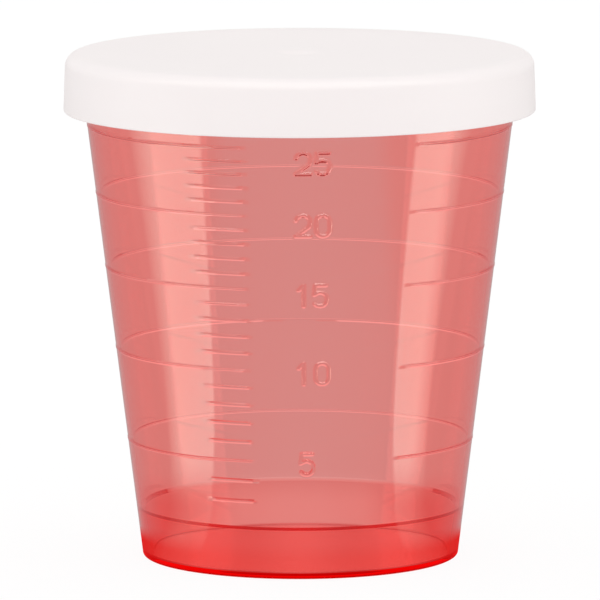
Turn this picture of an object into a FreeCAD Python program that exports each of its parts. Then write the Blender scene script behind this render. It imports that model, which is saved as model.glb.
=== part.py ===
# A graduated medicine cup of clear red plastic with a white press-on lid.
# Millimetres. The cup's axis is Z and the underside of its foot is at Z = 0.
# The front, where the numerals stand, looks along -Y.

import FreeCAD
import Part
import Sketcher
import math
import os

# Driving dimensions. Every radius and height below is worked out from these.
DIMENSIONS = {
    # cup
    "base_radius": 13.1,       # outside of the cone at the table
    "wall_slope": 0.1246,      # radius gained for each mm of height
    "cup_height": 41.15,
    "wall": 0.4,               # measured level, above the step
    "foot_wall": 0.7,          # measured level, below the step
    "step_height": 4.23,
    "floor_height": 0.45,
    "floor_corner": 1.0,       # rounding between the foot wall and the floor
    "foot_edge": 0.25,         # rounding of the outer bottom edge
    "rim_overhang": 0.32,      # how far the flange that the lid grips stands out
    "rim_depth": 1.0,
    "rim_edge": 0.2,
    # raised marks on the cup
    "line_allowance": 185,     # cubic mm that the cup holds beyond what a line says
    "mark_relief": 0.12,
    "mark_crest": 0.16,        # width of the mark's flat top
    "mark_foot": 0.36,         # width of the mark where it meets the wall
    "mark_root": 0.1,          # how far the mark's section is sunk into the wall
    "marks_end": -16,          # degrees from the front, positive to the right
    "tick_sweep": 15,
    "ring_sweep": 310,
    # lid
    "skirt_wall": 0.82,        # at the lower edge
    "skirt_draft": 0.13,       # radius lost from the lower edge to the top
    "skirt_depth": 3.94,       # from the lower edge to the seat on the rim
    "top_thickness": 0.85,
    "skirt_clearance": 0.18,   # between the rim flange and the skirt
    "bead_clearance": 0.08,    # between the rim flange and the snap bead
    "bead_height": 0.6,
    "bead_rise": 0.5,          # from the lower edge to the bead
    "bead_root": 0.1,          # how far the bead's section is sunk into the skirt
    "shoulder": 1.05,          # rounding between the top and the skirt
    "skirt_edge": 0.25,
    "dimple_radius": 2.1,      # shallow dish round the moulding gate
    "dimple_depth": 0.3,
}

RING_VOLUMES = (5, 10, 15, 20, 25)                                  # millilitres
TICK_VOLUMES = tuple(ml for ml in range(3, 25) if ml not in RING_VOLUMES)
CUBIC_MM_PER_ML = 1000

doc = FreeCAD.newDocument("medicine_cup")


def make_sheet():
    """The spreadsheet of driving dimensions, one aliased number a row."""
    sheet = doc.addObject("Spreadsheet::Sheet", "dims")
    for row, (alias, value) in enumerate(DIMENSIONS.items(), start=1):
        sheet.set(f"A{row}", alias)
        sheet.set(f"B{row}", str(value))
        sheet.setAlias(f"B{row}", alias)
    doc.recompute()
    return sheet


sheet = make_sheet()


def dim(alias):
    """An expression for one cell of the sheet."""
    assert alias in DIMENSIONS, alias
    return f"dims.{alias}"


def outer_radius(height):
    """Outside of the cone at a height."""
    return f"({dim('base_radius')} + {dim('wall_slope')} * ({height}))"


def bore_radius(height):
    """Inside of the thin wall at a height above the step."""
    return f"({outer_radius(height)} - {dim('wall')})"


def foot_radius(height):
    """Inside of the thick foot wall at a height below the step."""
    return f"({outer_radius(height)} - {dim('foot_wall')})"


def rim_radius():
    """Outside of the flange that the lid grips."""
    return f"({outer_radius(dim('cup_height'))} + {dim('rim_overhang')})"


def rounded(first, corner, last, chords):
    """Chords of the arc that would round a corner, from its first point to its last."""
    points = []
    for step in range(chords + 1):
        angle = math.radians(90 * step / chords)
        near_first = 1 - math.sin(angle)
        near_last = 1 - math.cos(angle)
        points.append(tuple(
            f"({at} + {near_first:.6f} * ({before} - {at}) + {near_last:.6f} * ({after} - {at}))"
            for before, at, after in zip(first, corner, last)
        ))
    points[0], points[-1] = first, last
    return points


def foot_outline():
    """The inside of the foot from the floor's edge up to the step."""
    floor = dim("floor_height")
    step = dim("step_height")
    above = f"({floor} + {dim('floor_corner')})"
    corner = rounded(
        (f"({foot_radius(floor)} - {dim('floor_corner')})", floor),
        (foot_radius(floor), floor),
        (foot_radius(above), above),
        chords=2,
    )
    return corner + [(foot_radius(step), step)]


def frustum(lower, upper):
    """Volume between two corners of a turned outline."""
    return f"(pi / 3 * ({upper[1]} - {lower[1]}) * ({lower[0]}^2 + {lower[0]} * {upper[0]} + {upper[0]}^2))"


def foot_volume():
    """What the cup holds up to the step: one slice of a cone for each run of the outline."""
    corners = foot_outline()
    return "(" + " + ".join(frustum(*pair) for pair in zip(corners, corners[1:])) + ")"


def fill_height(millilitres):
    """Height of the liquid's surface, from the volume of the stepped cavity.

    Above the step the cavity is one cone. A cone's volume between two heights is
    pi / (3 * slope) times the difference of the cubes of its radii there, so the
    height follows from one cube root. The lines stand a little high: the cup holds
    the allowance on top of what they say.
    """
    slope = dim("wall_slope")
    above_step = f"({millilitres * CUBIC_MM_PER_ML} + {dim('line_allowance')} - {foot_volume()})"
    surface = f"cbrt({bore_radius(dim('step_height'))}^3 + 3 * {slope} * {above_step} / pi)"
    return f"(({surface} - {dim('base_radius')} + {dim('wall')}) / {slope})"


def line_name(millilitres):
    """What the document calls the height of one line."""
    return f"line_{millilitres}".replace(".", "_")


def make_scale():
    """The heights of the scale's lines, each worked out once for every sketch."""
    scale = doc.addObject("App::VarSet", "scale")
    for ml in sorted(RING_VOLUMES + TICK_VOLUMES):
        scale.addProperty("App::PropertyFloat", line_name(ml), "Lines", f"height of the {ml} ml line")
        scale.setExpression(line_name(ml), fill_height(ml))
    doc.recompute()


def value_of(expression):
    """The number that an expression gives with the sheet's present values."""
    return float(sheet.evalExpression(expression))


def origin_feature(body, role):
    """One of the body's own origin planes or axes."""
    return next(item for item in body.Origin.OriginFeatures if item.Role == role)


def half_section(body, name, outlines, azimuth=None):
    """A sketch through the axis, turned to an azimuth, with closed outlines.

    Each corner is a pair of expressions, its radius and its height, and each becomes
    two bound constraints, so the sketch follows the sheet.
    """
    sketch = body.newObject("Sketcher::SketchObject", name)
    sketch.AttachmentSupport = [(origin_feature(body, "XZ_Plane"), "")]
    sketch.MapMode = "FlatFace"
    if azimuth is not None:
        about_axis = FreeCAD.Rotation(FreeCAD.Vector(0, 1, 0), 0)
        sketch.AttachmentOffset = FreeCAD.Placement(FreeCAD.Vector(), about_axis)
        sketch.setExpression("AttachmentOffset.Rotation.Angle", azimuth)
    for outline in outlines:
        first = sketch.GeometryCount
        corners = [FreeCAD.Vector(value_of(radius), value_of(height), 0) for radius, height in outline]
        count = len(corners)
        for index in range(count):
            sketch.addGeometry(Part.LineSegment(corners[index], corners[(index + 1) % count]))
        for index, (radius, height) in enumerate(outline):
            line = first + index
            sketch.addConstraint(Sketcher.Constraint("Coincident", line, 2, first + (index + 1) % count, 1))
            bind_corner(sketch, line, radius, height)
    return sketch


def bind_corner(sketch, line, radius, height):
    """Tie the start of a line to its radius and its height."""
    places = (("DistanceX", -2, radius, "radius"), ("DistanceY", -1, height, "height"))
    for kind, axis, expression, word in places:
        if expression == "0":
            sketch.addConstraint(Sketcher.Constraint("PointOnObject", line, 1, axis))
            continue
        constraint = Sketcher.Constraint(kind, -1, 1, line, 1, value_of(expression))
        index = sketch.addConstraint(constraint)
        label = f"{word}_{line}"
        sketch.renameConstraint(index, label)
        sketch.setExpression(f"Constraints.{label}", expression)


def turn(body, kind, name, sketch, sweep="360"):
    """Revolve or groove a half section about the cup's axis."""
    feature = body.newObject(kind, name)
    feature.Profile = sketch
    feature.ReferenceAxis = (sketch, ["V_Axis"])
    feature.setExpression("Angle", sweep)
    sketch.Visibility = False
    doc.recompute()
    return feature


def mark_section(millilitres):
    """Section of a raised line: a low trapezium standing on the sloping wall."""
    level = f"scale.{line_name(millilitres)}"
    corners = []
    for width, side, stand in (
        ("mark_foot", -1, f"-{dim('mark_root')}"),
        ("mark_foot", -1, "0"),
        ("mark_crest", -1, dim("mark_relief")),
        ("mark_crest", 1, dim("mark_relief")),
        ("mark_foot", 1, "0"),
        ("mark_foot", 1, f"-{dim('mark_root')}"),
    ):
        height = f"({level} + {side} * {dim(width)} / 2)"
        corners.append((f"{outer_radius(height)} + {stand}", height))
    return corners


def raised_marks(body, name, volumes, end, sweep):
    """Raised lines that run from the marks' common end, clockwise seen from above."""
    start = f"{end} - {sweep} - 90"
    sketch = half_section(body, f"{name}_section", [mark_section(ml) for ml in volumes], start)
    return turn(body, "PartDesign::Revolution", name, sketch, sweep)


def make_cup():
    """The cup: cone, rim flange, stepped cavity and raised graduation."""
    body = doc.addObject("PartDesign::Body", "cup")
    body.Label = "cup"
    top = dim("cup_height")
    flange = f"({top} - {dim('rim_depth')})"
    step = dim("step_height")
    edge = dim("foot_edge")
    brow = f"({top} - {dim('rim_edge')})"
    foot_edge = rounded(
        (f"({dim('base_radius')} - {edge})", "0"),
        (dim("base_radius"), "0"),
        (outer_radius(edge), edge),
        chords=1,
    )
    rim_edge = rounded(
        (rim_radius(), brow),
        (rim_radius(), top),
        (f"({rim_radius()} - {dim('rim_edge')})", top),
        chords=1,
    )
    mouth = rounded(
        (bore_radius(brow), brow),
        (bore_radius(top), top),
        (f"({bore_radius(top)} + {dim('rim_edge')})", top),
        chords=1,
    )
    blank = half_section(body, "cup_outline", [[
        ("0", "0"),
        *foot_edge,
        (outer_radius(flange), flange),
        (rim_radius(), flange),
        *rim_edge,
        ("0", top),
    ]])
    turn(body, "PartDesign::Revolution", "cup_blank", blank)
    cavity = half_section(body, "cavity_outline", [[
        ("0", dim("floor_height")),
        *foot_outline(),
        (bore_radius(step), step),
        *mouth,
        ("0", top),
    ]])
    turn(body, "PartDesign::Groove", "cavity", cavity)
    raised_marks(body, "five_ml_rings", RING_VOLUMES, dim("marks_end"), dim("ring_sweep"))
    raised_marks(body, "one_ml_ticks", TICK_VOLUMES, dim("marks_end"), dim("tick_sweep"))
    return body


def make_lid():
    """The lid: a flat top with a dish round the gate, and a skirt with a snap bead."""
    body = doc.addObject("PartDesign::Body", "lid")
    body.Label = "lid"
    seat = dim("cup_height")
    bottom = f"({seat} - {dim('skirt_depth')})"
    top = f"({seat} + {dim('top_thickness')})"
    inner_radius = f"({rim_radius()} + {dim('skirt_clearance')})"
    skirt_radius = f"({inner_radius} + {dim('skirt_wall')})"
    top_radius = f"({skirt_radius} - {dim('skirt_draft')})"
    hem = f"({bottom} + {dim('skirt_edge')})"
    skirt_edge = rounded(
        (f"({skirt_radius} - {dim('skirt_edge')})", bottom),
        (skirt_radius, bottom),
        (skirt_radius, hem),
        chords=1,
    )
    shoulder = rounded(
        (top_radius, f"({top} - {dim('shoulder')})"),
        (top_radius, top),
        (f"({top_radius} - {dim('shoulder')})", top),
        chords=3,
    )
    blank = half_section(body, "lid_outline", [[
        ("0", bottom),
        *skirt_edge,
        *shoulder,
        (dim("dimple_radius"), top),
        (f"({dim('dimple_radius')} / 2)", f"({top} - {dim('dimple_depth')})"),
        ("0", f"({top} - {dim('dimple_depth')})"),
    ]])
    turn(body, "PartDesign::Revolution", "lid_blank", blank)
    hollow = half_section(body, "hollow_outline", [[
        ("0", bottom),
        (inner_radius, bottom),
        (inner_radius, seat),
        ("0", seat),
    ]])
    turn(body, "PartDesign::Groove", "hollow", hollow)
    bead_low = f"({bottom} + {dim('bead_rise')})"
    bead_crest = f"({rim_radius()} + {dim('bead_clearance')})"
    bead = half_section(body, "bead_section", [[
        (f"{inner_radius} + {dim('bead_root')}", bead_low),
        (inner_radius, bead_low),
        (bead_crest, f"{bead_low} + {dim('bead_height')} / 2"),
        (inner_radius, f"{bead_low} + {dim('bead_height')}"),
        (f"{inner_radius} + {dim('bead_root')}", f"{bead_low} + {dim('bead_height')}"),
    ]])
    turn(body, "PartDesign::Revolution", "snap_bead", bead)
    return body


def check_document(bodies):
    """Stop if any object failed, or if a cut or an added mark changed nothing."""
    for item in doc.Objects:
        assert not {"Invalid", "Error"} & set(item.State), f"{item.Name}: {item.State}"
    for body in bodies:
        assert not body.Shape.isNull() and body.Shape.isValid() and len(body.Shape.Solids) == 1, body.Label
        volume = 0
        for feature in body.Group:
            if feature.isDerivedFrom("PartDesign::Feature"):
                change = feature.Shape.Volume - volume
                volume = feature.Shape.Volume
                assert abs(change) > 0.01, f"{feature.Name} changes nothing"
                print(f"{body.Label:4} {feature.Name:18} {change:+9.2f} mm3")


make_scale()
bodies = [make_cup(), make_lid()]
doc.recompute()
check_document(bodies)
for ml in RING_VOLUMES:
    print(f"{ml:3} ml line at {value_of(f'scale.{line_name(ml)}'):.2f} mm")

os.makedirs("parts", exist_ok=True)
for body in bodies:
    body.Shape.exportStep(f"parts/{body.Label}.step")
    box = body.Shape.optimalBoundingBox(False)
    size = " x ".join(f"{length:.2f}" for length in (box.XLength, box.YLength, box.ZLength))
    print(f"{body.Label}: {size} mm, z {box.ZMin:.2f}..{box.ZMax:.2f}")
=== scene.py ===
# %% [markdown]
# # A medicine cup with a press-on lid
# The object is a small cup of clear red plastic that holds 25 ml of syrup. A scale of
# raised lines runs round it, and a white lid snaps over its rim. The solid model of the
# two pieces is already packed, and this file gives them their final surfaces: the lines
# and numerals of the scale, the colour that the plastic has through its thickness, and
# the light of a small product studio. Every length is in millimetres until a mesh is
# made, because Blender works in metres here.

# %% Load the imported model
import math

import bpy
import numpy as np
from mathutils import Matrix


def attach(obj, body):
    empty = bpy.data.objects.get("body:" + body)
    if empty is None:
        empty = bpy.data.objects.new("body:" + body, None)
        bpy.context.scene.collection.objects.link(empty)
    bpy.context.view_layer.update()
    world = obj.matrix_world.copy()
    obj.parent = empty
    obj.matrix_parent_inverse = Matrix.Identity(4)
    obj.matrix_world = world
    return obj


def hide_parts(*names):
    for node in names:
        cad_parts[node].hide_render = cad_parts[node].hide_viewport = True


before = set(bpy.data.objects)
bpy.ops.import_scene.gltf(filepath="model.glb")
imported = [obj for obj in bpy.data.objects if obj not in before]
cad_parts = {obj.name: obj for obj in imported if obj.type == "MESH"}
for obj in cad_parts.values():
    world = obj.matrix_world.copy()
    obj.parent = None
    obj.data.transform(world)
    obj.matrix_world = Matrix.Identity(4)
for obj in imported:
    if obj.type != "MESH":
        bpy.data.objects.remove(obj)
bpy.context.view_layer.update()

MM = 0.001

# %% [markdown]
# ## The camera
# The photograph was taken with a long lens from about three quarters of a metre away,
# looking down by eight degrees. A long lens keeps the cup's two sides almost straight,
# and the small tilt opens every ring of the scale into a narrow ellipse. The camera
# comes first, because every other choice is judged through it.

# %% Camera
IMAGE_WIDTH = 600
FOCAL_LENGTH = 9189.7  # in pixels of the photograph, as are the shifts
SHIFT_RIGHT, SHIFT_UP = 2.42, 1.0
CAMERA_BACK, CAMERA_UP = 755.76, 127.34
LOOK_DOWN, ROLL = 7.993, 0.11  # degrees

lens_data = bpy.data.cameras.new("studio_camera")
lens_data.sensor_width = 36
lens_data.lens = FOCAL_LENGTH * lens_data.sensor_width / IMAGE_WIDTH
lens_data.shift_x = SHIFT_RIGHT / IMAGE_WIDTH
lens_data.shift_y = SHIFT_UP / IMAGE_WIDTH
lens_data.clip_start = 0.05
camera = bpy.data.objects.new("studio_camera", lens_data)
camera.location = (0, -CAMERA_BACK * MM, CAMERA_UP * MM)
camera.rotation_euler = (math.radians(90 - LOOK_DOWN), math.radians(ROLL), 0)
bpy.context.scene.collection.objects.link(camera)
bpy.context.scene.camera = camera
print(f"camera {lens_data.lens:.0f} mm, looking down by 8 degrees")

# %% [markdown]
# ## Sizes of the cup
# The cup is a turned shape: a straight cone outside, and inside it a thin upper wall
# that steps to a thicker foot just above the floor. The step is what draws the two
# ellipses near the bottom of the photograph. The scale isn't spaced evenly. The cup
# widens upwards, so each further millilitre takes a little less height, and the heights
# come from the volume of the cone.

# %% Wall, foot and rim
BASE_RADIUS = 13.1
WALL_SLOPE = 0.1246
CUP_HEIGHT = 41.15
WALL = 0.4
FOOT_WALL = 0.7
STEP_HEIGHT = 4.23
FLOOR_HEIGHT = 0.45
FLOOR_CORNER = 1.0  # the corner that counts for the fill heights
SEEN_CORNER = 0.22  # the tighter corner that the photograph shows
FOOT_EDGE = 0.25
RIM_DEPTH = 1.0
RIM_FLANGE = 0.32
RIM_EDGE = 0.2
STEP_RISE = 0.14  # half the height over which the step inside slopes


def outer_radius(height):
    return BASE_RADIUS + WALL_SLOPE * height


def bore_radius(height):
    return outer_radius(height) - WALL


def foot_radius(height):
    return outer_radius(height) - FOOT_WALL


def rounding(first, corner, last, steps):
    """Points of the arc that rounds a corner, from its first point to its last."""
    arc = []
    for angle in np.linspace(0, math.pi / 2, steps + 1):
        near_first, near_last = 1 - math.sin(angle), 1 - math.cos(angle)
        arc.append(tuple(
            c + near_first * (a - c) + near_last * (b - c)
            for a, c, b in zip(first, corner, last)
        ))
    return arc


RIM_RADIUS = outer_radius(CUP_HEIGHT) + RIM_FLANGE
print(f"rim {2 * RIM_RADIUS:.2f} mm across, foot {2 * BASE_RADIUS:.1f} mm")

# %% Heights of the scale's lines
LINE_ALLOWANCE = 185  # cubic mm that the cup holds beyond what a line says


def foot_corner(radius, steps):
    """The inside of the foot from the floor's edge up to the step."""
    return rounding(
        (foot_radius(FLOOR_HEIGHT) - radius, FLOOR_HEIGHT),
        (foot_radius(FLOOR_HEIGHT), FLOOR_HEIGHT),
        (foot_radius(FLOOR_HEIGHT + radius), FLOOR_HEIGHT + radius),
        steps,
    ) + [(foot_radius(STEP_HEIGHT), STEP_HEIGHT)]


def frustum(lower, upper):
    (a, low), (b, high) = lower, upper
    return math.pi / 3 * (high - low) * (a * a + a * b + b * b)


def fill_height(millilitres):
    """Height that a volume of liquid reaches in the cone above the step."""
    corners = foot_corner(FLOOR_CORNER, 2)
    foot_volume = sum(frustum(*pair) for pair in zip(corners, corners[1:]))
    above = 1000 * millilitres + LINE_ALLOWANCE - foot_volume
    start = bore_radius(STEP_HEIGHT)
    reached = (start ** 3 + 3 * WALL_SLOPE * above / math.pi) ** (1 / 3)
    return STEP_HEIGHT + (reached - start) / WALL_SLOPE


LINES = {millilitres: fill_height(millilitres) for millilitres in range(3, 26)}
for millilitres in (5, 10, 15, 20, 25):
    print(f"{millilitres:3} ml line at {LINES[millilitres]:.2f} mm")

# %% [markdown]
# ## The cup's surface as a grid
# Clear plastic shows both faces of its wall, so the mesh has to be one closed skin with
# the real thickness. A grid suits it: rows follow the turned outline from the middle of
# the underside, over the rim and down to the middle of the floor, and columns go round.
# Four rows carry each line of the scale, two for its flat crest and two for its foot,
# and rows and columns are dense only where the numerals stand. Modelling the marks by
# Booleans would leave long thin triangles, and those show as streaks in clear plastic.

# %% Rows of the outline
MARK_CREST = 0.12  # width of a raised line at its top, and below at the wall
MARK_FOOT = 0.36
NUMERAL_CENTRES = {25: 34.91, 20: 29.72, 15: 23.89, 10: 17.36, 5: 9.735}
NUMERAL_REACH = 1.2  # how far fine rows go above and below the middle of a numeral
NUMERAL_PITCH = 0.07
LEAST_GAP = 0.03  # between a fine row and a row of a mark
PLAIN_HEIGHTS = (2.0, 3.4, STEP_HEIGHT, 38.5)  # rows where nothing else asks for one
UNDERSIDE_RING, FLOOR_RING = 6.5, 6.0  # rings that keep the triangles at the axis short


def outline_row(radius, height, sharp=False, millilitres=0, crest=0.0, outside=0.0):
    return (radius, height, sharp, millilitres, crest, outside)


def wall_rows():
    """Rows of the outer wall: the marks' rows, and fine rows across the numerals."""
    rows = {}
    for ml, level in LINES.items():
        for offset, crest in ((-MARK_FOOT / 2, 0), (-MARK_CREST / 2, 1),
                              (MARK_CREST / 2, 1), (MARK_FOOT / 2, 0)):
            rows[level + offset] = (ml, crest)
    mark_heights = np.array(sorted(rows))
    for centre in NUMERAL_CENTRES.values():
        for height in np.arange(centre - NUMERAL_REACH, centre + NUMERAL_REACH, NUMERAL_PITCH):
            if np.abs(mark_heights - height).min() > LEAST_GAP:
                rows[height] = (0, 0)
    for height in PLAIN_HEIGHTS:
        rows[height] = (0, 0)
    return [
        outline_row(outer_radius(height), height, ml > 0, ml, crest, outside=1.0)
        for height, (ml, crest) in sorted(rows.items())
    ]


def turned_rows(points, sharp=()):
    return [outline_row(*point, sharp=index in sharp) for index, point in enumerate(points)]


foot_edge = rounding(
    (outer_radius(0) - FOOT_EDGE, 0), (outer_radius(0), 0),
    (outer_radius(FOOT_EDGE), FOOT_EDGE), 8,
)
flange_foot = CUP_HEIGHT - RIM_DEPTH
mouth = bore_radius(CUP_HEIGHT)
rim = (
    [(outer_radius(flange_foot), flange_foot), (RIM_RADIUS, flange_foot)]
    + rounding(
        (RIM_RADIUS, CUP_HEIGHT - RIM_EDGE), (RIM_RADIUS, CUP_HEIGHT),
        (RIM_RADIUS - RIM_EDGE, CUP_HEIGHT), 5,
    )
    + rounding(
        (mouth + RIM_EDGE, CUP_HEIGHT), (mouth, CUP_HEIGHT),
        (bore_radius(CUP_HEIGHT - RIM_EDGE), CUP_HEIGHT - RIM_EDGE), 5,
    )
)
bore = [(bore_radius(height), height) for height in (36, 27, 18, 9, STEP_HEIGHT + STEP_RISE)]
ledge = STEP_HEIGHT - STEP_RISE
foot_inside = [(foot_radius(ledge), ledge)] + foot_corner(SEEN_CORNER, 10)[-2::-1]
cup_rows = (
    turned_rows([(UNDERSIDE_RING, 0)])
    + turned_rows(foot_edge)
    + wall_rows()
    + turned_rows(rim, sharp=(0, 1))
    + turned_rows(bore, sharp=(4,))
    + turned_rows(foot_inside, sharp=(0,))
    + turned_rows([(FLOOR_RING, FLOOR_HEIGHT)])
)
print(len(cup_rows), "rows from the underside to the floor")

# %% Columns round the cup
MARKS_END = -16.0  # azimuth at which every line ends on the right
TICK_SWEEP = 15.0  # how far round a line goes to the left from there
RING_SWEEP = 310.0
END_RAMP = 0.35  # the turn over which a line rises at its ends
NUMERALS_FROM, NUMERALS_TO = -2.5, 10.0
FINE_TURN, PLAIN_TURN = 0.24, 2.25  # between columns at the numerals, and elsewhere
LEAST_TURN = 0.4  # between a plain column and any other


def cup_columns():
    """Azimuths in degrees, measured from the front to the right."""
    special = list(np.arange(NUMERALS_FROM, NUMERALS_TO, FINE_TURN))
    for end, away in ((MARKS_END, 1), (MARKS_END - TICK_SWEEP, -1),
                      (MARKS_END - RING_SWEEP + 360, -1)):
        special += [end, end + away * END_RAMP]
    plain = [azimuth for azimuth in np.arange(-180, 180, PLAIN_TURN)
             if min(abs(azimuth - taken) for taken in special) > LEAST_TURN]
    return np.array(sorted(special + plain))


columns = cup_columns()
print(len(columns), "columns round the cup")

# %% Turn an outline into a closed mesh
def closed_turning(name, rows, azimuths, bottom, top):
    """A grid turned about the axis, closed by a fan at a pole on each end."""
    count = len(azimuths)
    angle = np.radians(azimuths)
    radius = np.array([row[0] for row in rows])
    height = np.array([row[1] for row in rows])
    around = np.stack([np.sin(angle), -np.cos(angle)], axis=1)
    points = np.zeros((len(rows), count, 3))
    points[:, :, :2] = radius[:, None, None] * around[None]
    points[:, :, 2] = height[:, None]
    points = np.vstack([points.reshape(-1, 3), [[0, 0, bottom], [0, 0, top]]]) * MM
    low_pole, high_pole = len(points) - 2, len(points) - 1
    faces = []
    for here in range(count):
        right = (here + 1) % count
        faces.append((low_pole, right, here))
        for row in range(len(rows) - 1):
            base = row * count
            faces.append((base + here, base + right, base + count + right, base + count + here))
        last = (len(rows) - 1) * count
        faces.append((last + here, last + right, high_pole))
    mesh = bpy.data.meshes.new(name)
    mesh.from_pydata(points.tolist(), [], faces, shade_flat=False)
    # the two poles get rows of their own, counted from the end of each table by row
    row_of = np.append(np.repeat(np.arange(len(rows)), count), [-1, -2])
    edges = np.empty(len(mesh.edges) * 2, dtype=int)
    mesh.edges.foreach_get("vertices", edges)
    ends = row_of[edges.reshape(-1, 2)]
    sharp_row = np.array([row[2] for row in rows] + [False, False])
    sharp = (ends[:, 0] == ends[:, 1]) & sharp_row[ends[:, 0]]
    mesh.attributes.new("sharp_edge", "BOOLEAN", "EDGE").data.foreach_set("value", sharp)
    made = bpy.data.objects.new(name, mesh)
    bpy.context.scene.collection.objects.link(made)
    return made, row_of


cup_grid, cup_row_of = closed_turning("cup_grid", cup_rows, columns, 0, FLOOR_HEIGHT)
for label, position in (("millilitres", 3), ("crest", 4), ("outside", 5)):
    values = np.array([row[position] for row in cup_rows] + [0, 0], dtype=float)
    attribute = cup_grid.data.attributes.new(label, "FLOAT", "POINT")
    attribute.data.foreach_set("value", values[cup_row_of])
print(len(cup_grid.data.polygons), "faces in the cup's grid")

# %% [markdown]
# ## The numerals as strokes
# The numerals are raised by the mould just as the lines are. Each one is drawn here as
# a path, like the groove that an engraver cuts in the mould, and the paths are wrapped
# round the cone. Only the paths are kept: the wall will rise near them in the next step.
# Text objects would need a font with this plain round-ended look, and would have to be
# projected and joined to the wall.

# %% Paths of the digits
def arc_path(centre, radius_x, radius_y, start, end, steps=14):
    angles = np.radians(np.linspace(start, end, steps))
    return [(centre[0] + radius_x * math.cos(a), centre[1] + radius_y * math.sin(a))
            for a in angles]


def digit_paths(digit, width, height):
    """Strokes of a digit whose middle is at the origin, as lists of points."""
    w, h = width / 2, height / 2
    flag = 0.42  # the slanting stroke at the top of a 1 goes this far left and down
    if digit == "0":
        return [arc_path((0, h - w), w, w, 0, 180) + arc_path((0, w - h), w, w, 180, 360)
                + [(w, h - w)]]
    if digit == "1":
        return [[(-flag, h - flag), (0, h), (0, -h)]]
    if digit == "2":
        return [arc_path((0, h - w), w, w, 165, -35) + [(-w, -h), (w, -h)]]
    bowl = 0.33 * height
    return [[(0.85 * w, h), (-0.8 * w, h), (-0.95 * w, 0.1 * h)]
            + arc_path((-0.05 * w, bowl - h), 1.05 * w, bowl, 135, -140)]


print(sum(len(path) for path in digit_paths("5", 1.1, 1.8)), "points in a 5")

# %% Wrap the digits round the cone
NUMERAL_HEIGHT = 1.75
# for each numeral its digits, each with the place of its middle and its width
NUMERALS = {
    25: (("2", 0.27, 1.2), ("5", 1.87, 1.2)),
    20: (("2", 0.25, 1.2), ("0", 1.88, 1.15)),
    15: (("1", 0.30, 0.4), ("5", 1.67, 1.1)),
    10: (("1", 0.30, 0.4), ("0", 1.80, 1.1)),
    5: (("5", 0.54, 1.1),),
}


def on_cone(across, height):
    radius = outer_radius(height)
    turn = across / radius
    return (radius * math.sin(turn) * MM, -radius * math.cos(turn) * MM, height * MM)


stroke_points, stroke_edges = [], []
for millilitres, digits in NUMERALS.items():
    centre = NUMERAL_CENTRES[millilitres]
    for digit, middle, width in digits:
        for path in digit_paths(digit, width, NUMERAL_HEIGHT):
            first = len(stroke_points)
            stroke_points += [on_cone(middle + x, centre + z) for x, z in path]
            stroke_edges += [(i, i + 1) for i in range(first, len(stroke_points) - 1)]
stroke_mesh = bpy.data.meshes.new("numeral_strokes")
stroke_mesh.from_pydata(stroke_points, stroke_edges, [])
strokes = bpy.data.objects.new("numeral_strokes", stroke_mesh)
bpy.context.scene.collection.objects.link(strokes)
print(len(stroke_edges), "edges in the numerals")

# %% [markdown]
# ## Writing node trees as text
# A node tree is easier to read as a formula than as a list of links. A Wire stands for
# one output of a node. Arithmetic on wires adds the Math nodes, and the add method makes
# any other node from its type, its settings and what goes into its sockets. Settings
# come first, because some of them decide which sockets a node has.

# %% Wires and trees
class Wire:
    """One output socket of a tree. Arithmetic on it adds Math nodes to the tree."""

    def __init__(self, tree, socket):
        self.tree = tree
        self.socket = socket

    def __getitem__(self, name):
        return Wire(self.tree, self.socket.node.outputs[name])

    def math(self, operation, *values):
        inputs = dict(enumerate(values))
        return self.tree.add("ShaderNodeMath", {"operation": operation}, inputs)

    def __add__(self, other):
        return self.math("ADD", self, other)

    def __radd__(self, other):
        return self.math("ADD", other, self)

    def __sub__(self, other):
        return self.math("SUBTRACT", self, other)

    def __rsub__(self, other):
        return self.math("SUBTRACT", other, self)

    def __mul__(self, other):
        return self.math("MULTIPLY", self, other)

    def __rmul__(self, other):
        return self.math("MULTIPLY", other, self)

    def __truediv__(self, other):
        return self.math("DIVIDE", self, other)

    def clamped(self):
        return self.math("MINIMUM", self.math("MAXIMUM", self, 0.0), 1.0)

    def smooth(self):
        """Eases a value between 0 and 1, with level ends."""
        held = self.clamped()
        return held * held * (3 - 2 * held)


class Tree:
    """A node tree, with one way to add any node to it."""

    def __init__(self, tree):
        self.tree = tree

    def add(self, kind, settings=None, inputs=None):
        node = self.tree.nodes.new(kind)
        for name, value in (settings or {}).items():
            setattr(node, name, value)
        for key, value in (inputs or {}).items():
            if isinstance(value, Wire):
                self.tree.links.new(value.socket, node.inputs[key])
            else:
                node.inputs[key].default_value = value
        return Wire(self, node.outputs[0]) if node.outputs else node


print("wires and trees are ready")

# %% [markdown]
# ## Raising the scale with Geometry Nodes
# The scale follows a rule: every line at a whole number of millilitres is a short tick,
# and every fifth one is a ring that runs round the back and stops on the right. The
# tree reads which line a row belongs to, works out how far round the line goes, adds
# the height of the numerals from the distance to their paths, and pushes the wall out.
# The rule stays in one place, and each of its sizes is an input with a name.

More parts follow.
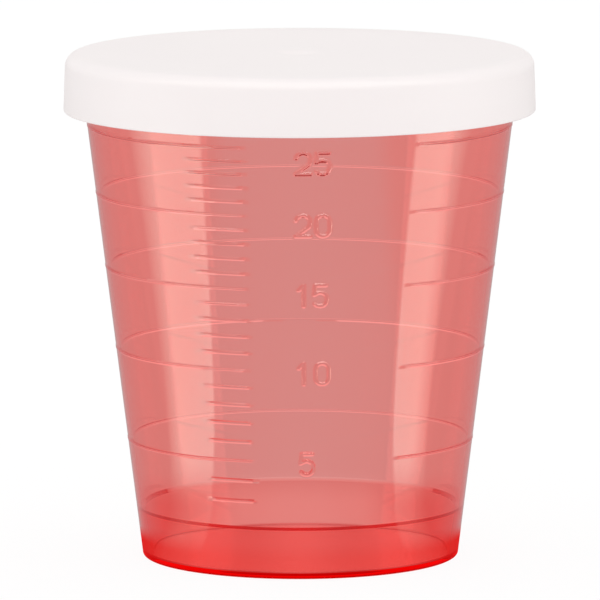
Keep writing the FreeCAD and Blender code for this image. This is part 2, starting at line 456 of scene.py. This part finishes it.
# %% The tree that raises lines and numerals
def relief_tree():
    group = bpy.data.node_groups.new("raised_scale", "GeometryNodeTree")
    kinds = {"Geometry": "NodeSocketGeometry", "Numeral strokes": "NodeSocketObject",
             "Material": "NodeSocketMaterial"}
    names = (
        "Geometry", "Numeral strokes", "Tick relief", "Ring relief", "Numeral relief", "Marks end",
        "Tick sweep", "Ring sweep", "End ramp", "Ring every", "Stroke width", "Stroke edge", "Material",
    )
    for name in names:
        kind = kinds.get(name, "NodeSocketFloat")
        group.interface.new_socket(name, in_out="INPUT", socket_type=kind)
    group.interface.new_socket("Geometry", in_out="OUTPUT", socket_type="NodeSocketGeometry")
    tree = Tree(group)
    given = tree.add("NodeGroupInput")
    field = {
        name: tree.add("GeometryNodeInputNamedAttribute", {"data_type": "FLOAT"}, {"Name": name})
        for name in ("millilitres", "crest", "outside")
    }
    place = tree.add("GeometryNodeInputPosition")
    east = tree.add("ShaderNodeSeparateXYZ", None, {0: place})["X"]
    north = east["Y"]
    azimuth = east.math("ARCTAN2", east, 0 - north) * (180 / math.pi)
    # the turn from the marks' right end to a point, leftwards and all the way round
    turn = given["Marks end"] + given["End ramp"] - azimuth
    turn = turn.math("FLOORED_MODULO", turn, 360.0)
    level = field["millilitres"]
    remainder = level.math("FLOORED_MODULO", level, given["Ring every"])
    is_ring = remainder.math("LESS_THAN", remainder, 0.5)
    sweep = given["Tick sweep"] + (given["Ring sweep"] - given["Tick sweep"]) * is_ring
    start = (turn / given["End ramp"]).clamped()
    finish = ((sweep + 2 * given["End ramp"] - turn) / given["End ramp"]).clamped()
    rise = given["Tick relief"] + (given["Ring relief"] - given["Tick relief"]) * is_ring
    line = field["crest"] * start * finish * rise
    drawn = tree.add("GeometryNodeObjectInfo", None, {"Object": given["Numeral strokes"]})
    near = tree.add("GeometryNodeProximity", {"target_element": "EDGES"},
                    {0: drawn["Geometry"], "Sample Position": place})["Distance"]
    digit = ((given["Stroke width"] / 2 + given["Stroke edge"] / 2 - near)
             / given["Stroke edge"]).smooth()
    height = line.math("MAXIMUM", line, digit * given["Numeral relief"]) * field["outside"]
    across = east.math("SQRT", east * east + north * north)
    outward = tree.add("ShaderNodeCombineXYZ", None,
                       {"X": east / across * height, "Y": north / across * height})
    raised = tree.add("GeometryNodeSetPosition", None,
                      {"Geometry": given["Geometry"], "Offset": outward})
    real = tree.add("GeometryNodeRealizeInstances", None, {0: raised})
    painted = tree.add("GeometryNodeSetMaterial", None,
                       {"Geometry": real, "Material": given["Material"]})
    tree.add("NodeGroupOutput", None, {0: painted})
    return group


scale_tree = relief_tree()
print(len(scale_tree.nodes), "nodes raise the scale")

# %% [markdown]
# ## Clear red plastic
# The colour of the cup isn't on its surface: the dye is in the plastic, so a ray turns
# redder the further it travels inside. That is why the rim of the foot, where rays run
# lengthwise through the wall, is deep red and the thin wall is salmon pink. A clear
# surface with a Volume Absorption inside gives both from one setting. A tinted glass
# surface would colour every crossing alike. The dye lets red pass almost untouched.
#
# Two kinds of light get a shortcut. Shadow rays and diffuse rays meet a plain
# transparent surface, so that the light of the room reaches the inside of the lid. And
# where light has been mirrored inside the wall three times or more, the surface glows a
# painted deep red instead: a render gives up on such rays after a few more bounces and
# would leave them black.

# %% Material of the cup
ABSORBED = (5.0, 1350.0, 1450.0)  # red, green and blue lost for each metre of plastic
PAINTED_GUIDED_GLOW = (0.62, 0.03, 0.03)  # painted glow in place of light mirrored inside the wall again and again
MIRRORED_OFTEN = 2.5  # mirrorings after which light counts as guided and the painted glow takes over
LIT_THROUGH = 0.92  # share of the room's light that passes one face


def clear_plastic():
    material = bpy.data.materials.new("clear_red_plastic")
    material.use_nodes = True
    material.node_tree.nodes.clear()
    tree = Tree(material.node_tree)
    place = tree.add("ShaderNodeTexCoord")["Object"]
    haze = tree.add("ShaderNodeTexNoise", None, {"Vector": place, "Scale": 260.0, "Detail": 3.0})
    flow = tree.add("ShaderNodeTexNoise", None, {"Vector": place, "Scale": 90.0, "Detail": 1.0})
    waves = tree.add("ShaderNodeBump", None,
                     {"Height": flow, "Strength": 0.02, "Distance": 0.0005})
    plastic = tree.add("ShaderNodeBsdfPrincipled", None, {
        "Base Color": (1, 1, 1, 1), "Transmission Weight": 1.0, "IOR": 1.49,
        "Roughness": 0.004 + 0.012 * haze, "Normal": waves,
    })
    lit_through = tree.add("ShaderNodeBsdfTransparent", None,
                           {"Color": (LIT_THROUGH, LIT_THROUGH, LIT_THROUGH, 1)})
    path = tree.add("ShaderNodeLightPath")
    # an emission: a painted deep red glow that stands in for the lost light
    guided = tree.add("ShaderNodeEmission", None, {"Color": (*PAINTED_GUIDED_GLOW, 1)})
    trapped = path.math("GREATER_THAN", path["Glossy Depth"], MIRRORED_OFTEN)
    surface = tree.add("ShaderNodeMixShader", None, {0: trapped, 1: plastic, 2: guided})
    passing = path.math("MAXIMUM", path["Is Shadow Ray"], path["Is Diffuse Ray"])
    surface = tree.add("ShaderNodeMixShader", None, {0: passing, 1: surface, 2: lit_through})
    most = max(ABSORBED)
    kept = [1 - lost / most for lost in ABSORBED]
    dye = tree.add("ShaderNodeVolumeAbsorption", None, {"Color": (*kept, 1), "Density": most})
    tree.add("ShaderNodeOutputMaterial", None, {"Surface": surface, "Volume": dye})
    return material


red_plastic = clear_plastic()
print("green falls to", round(math.exp(-ABSORBED[1] * WALL * MM), 2), "through one wall")

# %% [markdown]
# ## Putting the cup together
# The tree runs as a modifier on the grid. Its sizes are set by the identifier of each
# input, because two inputs may share a name. The finished shape is read back as a plain
# mesh and the modifier goes, so that the mesh holds exactly what is seen here.

# %% Run the tree and keep the plain mesh
TICK_RELIEF = 0.05
RING_RELIEF = 0.034
NUMERAL_RELIEF = 0.1
STROKE = 0.25  # width of a numeral's stroke, halfway up its sloping edge
STROKE_EDGE = 0.18


def run_tree(carrier, group, values):
    modifier = carrier.modifiers.new("raise", "NODES")
    modifier.node_group = group
    for item in group.interface.items_tree:
        if item.in_out == "INPUT" and item.name in values:
            modifier[item.identifier] = values[item.name]
    evaluated = carrier.evaluated_get(bpy.context.evaluated_depsgraph_get())
    mesh = bpy.data.meshes.new_from_object(evaluated)
    carrier.modifiers.remove(modifier)
    return mesh


cup_mesh = run_tree(cup_grid, scale_tree, {
    "Numeral strokes": strokes, "Tick relief": TICK_RELIEF * MM, "Ring relief": RING_RELIEF * MM,
    "Numeral relief": NUMERAL_RELIEF * MM, "Marks end": MARKS_END,
    "Tick sweep": TICK_SWEEP, "Ring sweep": RING_SWEEP, "End ramp": END_RAMP,
    "Ring every": 5.0, "Stroke width": STROKE * MM, "Stroke edge": STROKE_EDGE * MM,
    "Material": red_plastic,
})
cup_mesh.name = "medicine_cup"
for label in ("millilitres", "crest", "outside"):
    cup_mesh.attributes.remove(cup_mesh.attributes[label])
cup = bpy.data.objects.new("medicine_cup", cup_mesh)
bpy.context.scene.collection.objects.link(cup)
bpy.data.objects.remove(cup_grid)
bpy.data.objects.remove(strokes)
cup_mesh.calc_loop_triangles()
print(len(cup_mesh.loop_triangles), "triangles in the cup")

# %% [markdown]
# ## The lid
# The lid is turned as well: a flat top with a soft shoulder, a skirt that drapes over
# the rim and widens a touch downwards, and a shallow dish in the middle where the
# plastic entered the mould. Inside, a small bead on the skirt sits just below the rim.
# The lid is opaque, so its outline needs roundings that catch the light rather than
# fine rows.

# %% Outline and mesh of the lid
LID_TOP = CUP_HEIGHT + 0.85
LID_CEILING = CUP_HEIGHT + 0.02
LID_BOTTOM = CUP_HEIGHT - 3.94
LID_INSIDE = RIM_RADIUS + 0.18
SKIRT_WALL = 0.82
SKIRT_RADIUS = LID_INSIDE + SKIRT_WALL
SKIRT_FLARE = 0.13  # how much wider the skirt is at its foot than at the shoulder
TOP_RADIUS = SKIRT_RADIUS - SKIRT_FLARE
SKIRT_MIDDLE = LID_BOTTOM + 2.1
SHOULDER = 1.05
SKIRT_EDGE = 0.14
INNER_EDGE = 0.12
BEAD_LOW = LID_BOTTOM + 0.5
BEAD_HEIGHT = 0.6
BEAD_RADIUS = RIM_RADIUS + 0.08
DISH_RADIUS = 2.1
DISH_DEPTH = 0.3
CEILING_RING = 9.0
TOP_RINGS = (14.0, 8.0, 3.5)  # rings that split the flat top
LID_TURN = 1.5  # degrees between columns


def dish(steps):
    """The dish round the gate: a level bottom that rises in a smooth wave."""
    points = []
    for part in np.linspace(0, 1, steps + 1):
        radius = DISH_RADIUS * (0.25 + 0.75 * part)
        depth = DISH_DEPTH * (1 + math.cos(math.pi * part)) / 2
        points.append((radius, LID_TOP - depth))
    return points[::-1]


lid_points = (
    [(CEILING_RING, LID_CEILING), (LID_INSIDE, LID_CEILING)]
    + [(LID_INSIDE, BEAD_LOW + BEAD_HEIGHT), (BEAD_RADIUS, BEAD_LOW + BEAD_HEIGHT / 2),
       (LID_INSIDE, BEAD_LOW)]
    + rounding((LID_INSIDE, LID_BOTTOM + INNER_EDGE), (LID_INSIDE, LID_BOTTOM),
               (LID_INSIDE + INNER_EDGE, LID_BOTTOM), 4)
    + rounding((SKIRT_RADIUS - SKIRT_EDGE, LID_BOTTOM), (SKIRT_RADIUS, LID_BOTTOM),
               (SKIRT_RADIUS, LID_BOTTOM + SKIRT_EDGE), 6)
    + [(TOP_RADIUS + SKIRT_FLARE / 2, SKIRT_MIDDLE)]
    + rounding((TOP_RADIUS, LID_TOP - SHOULDER), (TOP_RADIUS, LID_TOP),
               (TOP_RADIUS - SHOULDER, LID_TOP), 12)
    + [(radius, LID_TOP) for radius in TOP_RINGS]
    + dish(10)
)
lid_rows = turned_rows(lid_points, sharp=(1, 2, 3, 4))
lid_columns = np.arange(-180, 180, LID_TURN)
lid, _ = closed_turning("press_on_lid", lid_rows, lid_columns, LID_CEILING, LID_TOP - DISH_DEPTH)
print(len(lid.data.polygons), "faces in the lid")

# %% [markdown]
# ## White plastic
# The lid is an opaque polyethylene, a white with a satin surface, and its faint pink is
# painted red light from the cup. Moulded plastic of this kind is never perfectly even:
# its surface has a very fine grain, and its gloss changes slightly where the melt met the
# mould. Two noises give these, a fine one for the grain and a broad one for the gloss and
# the tone.

# %% Material of the lid
def satin_plastic():
    material = bpy.data.materials.new("white_plastic")
    material.use_nodes = True
    material.node_tree.nodes.clear()
    tree = Tree(material.node_tree)
    place = tree.add("ShaderNodeTexCoord")["Object"]
    cloud = tree.add("ShaderNodeTexNoise", None, {"Vector": place, "Scale": 120.0, "Detail": 2.0})
    grain = tree.add("ShaderNodeTexNoise", None, {"Vector": place, "Scale": 2600.0, "Detail": 2.0})
    tone = tree.add("ShaderNodeMix", {"data_type": "RGBA"}, {0: cloud})
    node = tone.socket.node
    # both tones carry a faint pink: painted red light from the cup
    node.inputs[6].default_value = (0.945, 0.893, 0.888, 1)
    node.inputs[7].default_value = (0.955, 0.903, 0.898, 1)
    rise = tree.add("ShaderNodeBump", None,
                    {"Height": grain, "Strength": 0.12, "Distance": 0.00005})
    plastic = tree.add("ShaderNodeBsdfPrincipled", None, {
        "Base Color": Wire(tree, node.outputs[2]), "IOR": 1.5, "Specular IOR Level": 0.25,
        "Roughness": 0.34 + 0.08 * cloud, "Normal": rise,
    })
    tree.add("ShaderNodeOutputMaterial", None, {"Surface": plastic})
    return material


white_plastic = satin_plastic()
lid.data.materials.append(white_plastic)
print("materials:", red_plastic.name, "and", white_plastic.name)

# %% [markdown]
# ## The floor
# The cup stands on a pale table that the photograph shows as pure white. The camera
# therefore sees the floor as a white light with a little real shading mixed in, which
# keeps a faint shadow. Rays that come through the plastic see the table as a glow with
# its light painted in: a light grey, lighter close to the cup in line with it, with
# painted red light beside the cup, where light comes out of the wall, and painted red
# light with a faint ripple under the foot. Without that the clear wall would be as bright
# as the background, and the photograph's isn't.
#
# Rays that the plastic mirrors see the table darker, with two painted glowing patches in
# front, one to the left and one to the right, and painted red light at the foot. The wall
# of the cup leans outwards, so it mirrors the table and not the room, and these patches
# are the pale stripes of the photograph.

# %% Floor
# Two patches of painted glow on the table, seen only in reflections.
# For each edge of a patch: its azimuth at the axis, the degrees that it gains for each
# millimetre outwards, and the degrees over which the patch eases to nothing.
GLOW_LEFT = ((49.0, 0.03, 2.0), (70.5, 0.167, 16.0))
GLOW_RIGHT = ((50.9, 0.095, 2.0), (64.5, 0.207, 16.0))
GLOW_STRENGTH, GLOW_REACH = 1.6, 200  # the glow loses 1 over its reach
GLOW_LEAST = 0.15  # share of the glow that is left at the foot

# Painted light of the table seen through the plastic, plain and close to the cup, each in
# line with it and beside it; beside the cup it is painted red light.
PLAIN_TABLE, PLAIN_ASIDE = (0.685, 0.725, 0.725), (0.72, 0.64, 0.625)
CLOSE_TABLE, CLOSE_ASIDE_RED_LIGHT = (0.79, 0.96, 0.96), (0.74, 0.36, 0.36)
# painted red light under the foot, with a ripple
PAINTED_RIPPLE_DARK, PAINTED_RIPPLE_LIGHT, RIPPLE_LENGTH = (0.56, 0.21, 0.23), (0.71, 0.42, 0.44), 8.2
MIRRORED_TABLE, MIRRORED_PAINTED_GLOW = (0.5, 0.5, 0.5), (3.6, 3.8, 3.3)
MIRRORED_FOOT = (0.80, 0.03, 0.03)  # painted red light on the table right at the foot, where light comes through the plastic

# Where a zone starts or ends, and over how many millimetres it eases.
PLAIN_ASIDE_FROM, CLOSE_ASIDE_FROM = (9.5, 4), (5, 7.5)
CLOSE_UNTIL, FOOT_UNTIL, RED_UNTIL = (46, 22), (14.5, 2), (21, 5)
GLOW_FROM, GLOW_UNTIL = (26, 20), (175, 30)

WHITE_STRENGTH, SHADING, SHADED_GREY = 1.02, 0.1, 0.88
TABLE_HALF = 3  # metres


def blend(tree, factor, first, second):
    """One colour that turns into another as the factor goes from 0 to 1."""
    mix = tree.add("ShaderNodeMix", {"data_type": "RGBA"}, {"Factor": factor}).socket.node
    for socket, colour in ((mix.inputs[6], first), (mix.inputs[7], second)):
        if isinstance(colour, Wire):
            tree.tree.links.new(colour.socket, socket)
        else:
            socket.default_value = (*colour, 1)
    return Wire(tree, mix.outputs[2])


def until(value, end, easing):
    """1 while a value is low, easing to 0 where it reaches the end."""
    return ((end - value) / easing).smooth()


def beyond(value, start, easing):
    """0 up to the start, easing to 1 above it."""
    return ((value - start) / easing).smooth()


def patch(azimuth, distance, edges):
    """1 on a patch of the table between two nearly radial edges, easing to 0 over them."""
    (near, near_slope, near_soft), (far, far_slope, far_soft) = edges
    inside = (azimuth - (near + near_slope * distance)) / near_soft + 0.5
    before = (far + far_slope * distance - azimuth) / far_soft + 0.5
    return inside.clamped() * before.clamped()


def floor_material():
    material = bpy.data.materials.new("pale_table")
    material.use_nodes = True
    material.node_tree.nodes.clear()
    tree = Tree(material.node_tree)
    path = tree.add("ShaderNodeLightPath")
    place = tree.add("ShaderNodeTexCoord")["Object"]
    east = tree.add("ShaderNodeSeparateXYZ", None, {0: place})["X"]
    north = east["Y"]
    distance = east.math("SQRT", east * east + north * north) / MM
    azimuth = east.math("ARCTAN2", east, 0 - north) * (180 / math.pi)

    # through the plastic: the table's light painted in, red beside and under the cup
    aside = east.math("ABSOLUTE", east) / MM
    plain = blend(tree, beyond(aside, *PLAIN_ASIDE_FROM), PLAIN_TABLE, PLAIN_ASIDE)
    close = blend(tree, beyond(aside, *CLOSE_ASIDE_FROM), CLOSE_TABLE, CLOSE_ASIDE_RED_LIGHT)
    around = blend(tree, until(distance, *CLOSE_UNTIL), plain, close)
    ripple = 0.5 + 0.5 * east.math("COSINE", east * (2 * math.pi / (RIPPLE_LENGTH * MM)))
    painted_red_light_beneath = blend(tree, ripple, PAINTED_RIPPLE_DARK, PAINTED_RIPPLE_LIGHT)
    table = tree.add("ShaderNodeEmission", None, {
        "Color": blend(tree, until(distance, *FOOT_UNTIL), around, painted_red_light_beneath)})

    # mirrored by the plastic: painted glowing patches, and painted red light at the foot
    glow = patch(0 - azimuth, distance, GLOW_LEFT) + patch(azimuth, distance, GLOW_RIGHT)
    rising = GLOW_LEAST + (1 - GLOW_LEAST) * beyond(distance, *GLOW_FROM)
    fading = (GLOW_STRENGTH - distance / GLOW_REACH) * rising
    glow = glow * fading * until(distance, *GLOW_UNTIL)
    bright = blend(tree, glow, MIRRORED_TABLE, MIRRORED_PAINTED_GLOW)
    mirrored = tree.add("ShaderNodeEmission", None, {
        "Color": blend(tree, until(distance, *RED_UNTIL), bright, MIRRORED_FOOT)})

    # seen directly
    white = tree.add("ShaderNodeEmission", None, {
        "Color": (1, 1, 1, 1), "Strength": WHITE_STRENGTH})
    shaded = tree.add("ShaderNodeBsdfDiffuse", None, {
        "Color": (SHADED_GREY, SHADED_GREY, SHADED_GREY, 1)})
    seen = tree.add("ShaderNodeMixShader", None, {0: SHADING, 1: white, 2: shaded})
    final = shaded
    for kind, shader in (("Is Glossy Ray", mirrored), ("Is Transmission Ray", table),
                         ("Is Camera Ray", seen)):
        final = tree.add("ShaderNodeMixShader", None, {0: path[kind], 1: final, 2: shader})
    tree.add("ShaderNodeOutputMaterial", None, {"Surface": final})
    return material


floor_mesh = bpy.data.meshes.new("table_top")
table_height = -0.02 * MM  # a hair below the foot, so that the two faces don't coincide
table_corners = [(east * TABLE_HALF, north * TABLE_HALF, table_height)
                 for east, north in ((-1, -1), (1, -1), (1, 1), (-1, 1))]
floor_mesh.from_pydata(table_corners, [], [(0, 1, 2, 3)])
floor = bpy.data.objects.new("table_top", floor_mesh)
floor_mesh.materials.append(floor_material())
bpy.context.scene.collection.objects.link(floor)
print("floor", floor.dimensions[0], "m wide")

# %% [markdown]
# ## The room
# A white backdrop fills the frame. The lid is lit by a room that is a little brighter
# near the horizon than overhead, so that its skirt is as bright as its top. Clear
# plastic also mirrors the room, and there the direction matters: it is a pale grey
# behind the cup and a deep red on the camera's side, which is what makes the rim of the
# foot a deep red line. One bright light overhead in front catches the edges that face
# upwards, such as the upper flanks of the raised lines.

# %% World
HORIZON, ZENITH = (1.17, 1.17, 1.17), (0.93, 0.93, 0.93)
MIRRORED_FRONT, MIRRORED_BACK = (0.70, 0.06, 0.06), (0.68, 0.68, 0.68)
MIRRORED_OVERHEAD = (4.4, 4.2, 3.9)
THROUGH_FRONT, THROUGH_BACK = (0.80, 0.22, 0.20), (1.0, 1.0, 1.0)
# parts of a direction of length 1
SIDE_EASING = 0.3  # the front turns into the back over this much on either side
OVERHEAD_FROM = (0.3, 0.3)  # height at which the light starts, and its easing
OVERHEAD_UNTIL = (0.05, 0.3)  # how far back it goes, and its easing


def room():
    world = bpy.data.worlds.new("white_room")
    world.use_nodes = True
    world.node_tree.nodes.clear()
    tree = Tree(world.node_tree)
    path = tree.add("ShaderNodeLightPath")
    direction = tree.add("ShaderNodeTexCoord")["Generated"]
    away = tree.add("ShaderNodeSeparateXYZ", None, {0: direction})["Y"]
    height = away["Z"]
    behind = ((away + SIDE_EASING) / (2 * SIDE_EASING)).clamped()

    def view(level):
        return tree.add("ShaderNodeBackground", None, {"Color": level})

    final = view(blend(tree, height.clamped(), HORIZON, ZENITH))
    overhead = beyond(height, *OVERHEAD_FROM) * until(away, *OVERHEAD_UNTIL)
    sides = blend(tree, behind, MIRRORED_FRONT, MIRRORED_BACK)
    mirrored = view(blend(tree, overhead, sides, MIRRORED_OVERHEAD))
    through = view(blend(tree, behind, THROUGH_FRONT, THROUGH_BACK))
    backdrop = view((1, 1, 1, 1))
    for kind, shader in (("Is Glossy Ray", mirrored), ("Is Transmission Ray", through),
                         ("Is Camera Ray", backdrop)):
        final = tree.add("ShaderNodeMixShader", None, {0: path[kind], 1: final, 2: shader})
    tree.add("ShaderNodeOutputWorld", None, {"Surface": final})
    return world


bpy.context.scene.world = room()
print("world", bpy.context.scene.world.name)

# %% [markdown]
# ## The two soft boxes
# A tall soft box stands on each side, nearly beside the cup, so that the middle of the
# cup stays free. Clear plastic mirrors them close to its outline. They light the
# plastic's reflections only, and the even room lights the lid.

# %% Lamps
# Lengths are in metres here. Each box has the same radiance over its whole face.
BOX_DISTANCE, BOX_MIDDLE, BOX_HEIGHT, BOX_RADIANCE = 0.6, 0.26, 0.5, 1.2


def soft_box(name, azimuth, width):
    lamp_data = bpy.data.lights.new(name, "AREA")
    lamp_data.shape = "RECTANGLE"
    lamp_data.size = width
    lamp_data.size_y = BOX_HEIGHT
    lamp_data.energy = BOX_RADIANCE * math.pi * width * BOX_HEIGHT
    lamp = bpy.data.objects.new(name, lamp_data)
    turn = math.radians(azimuth)
    lamp.location = (BOX_DISTANCE * math.sin(turn), -BOX_DISTANCE * math.cos(turn), BOX_MIDDLE)
    lamp.rotation_euler = (math.radians(90), 0, turn)
    lamp.visible_diffuse = False
    bpy.context.scene.collection.objects.link(lamp)


soft_box("right_soft_box", 76.5, 0.449)
soft_box("left_soft_box", -83.5, 0.378)
print("two soft boxes")

# %% [markdown]
# ## Handing the pieces to the frame
# Each piece stands for the solid of the same part and moves with that solid's body: the
# cup stays where it is, and the lid rises when it is pulled off.

# %% Ride and replace, then set the view
for piece, node, finish in ((cup, "cup", "clear_red_plastic"), (lid, "lid", "white_plastic")):
    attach(piece, node)
    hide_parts(node)
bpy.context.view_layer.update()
scene_settings = bpy.context.scene.view_settings
scene_settings.view_transform = "Standard"
